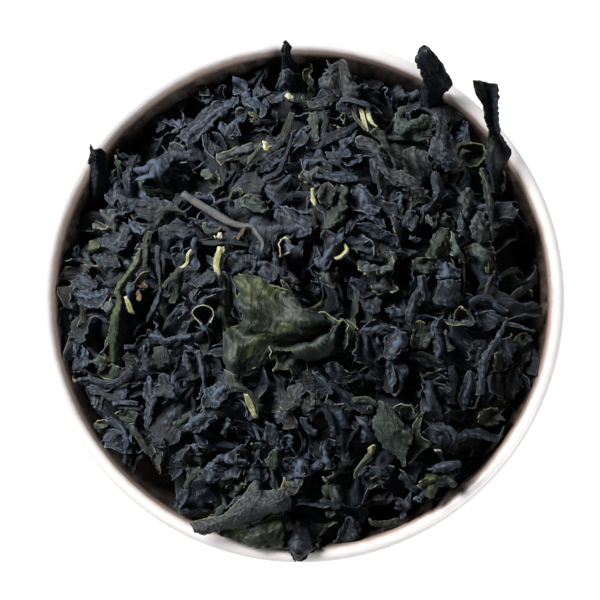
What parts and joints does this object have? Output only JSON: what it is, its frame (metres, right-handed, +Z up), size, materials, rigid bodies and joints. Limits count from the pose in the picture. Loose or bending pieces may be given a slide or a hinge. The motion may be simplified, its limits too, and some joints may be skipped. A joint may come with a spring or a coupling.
{
  "type": "bowl of dried wakame flakes",
  "caption": "Small round glazed bowl on a foot ring, heaped with crinkled dark blue-green dried wakame flakes and strips.",
  "frame": {"origin": "centre of the foot ring's flat underside, on the surface the bowl stands on", "axes": "+Z up, out of the bowl's mouth; +X towards the tall twisted strip's side of the rim; +Y towards the side with the deepest gap at the rim"},
  "size_m": [0.12, 0.12, 0.0752],
  "materials": {
    "bowl": "gloss",
    "wakame": "matte"
  },
  "bodies": {
    "root": {"bowl": "bowl", "wakame": "wakame"}
  },
  "joints": []
}
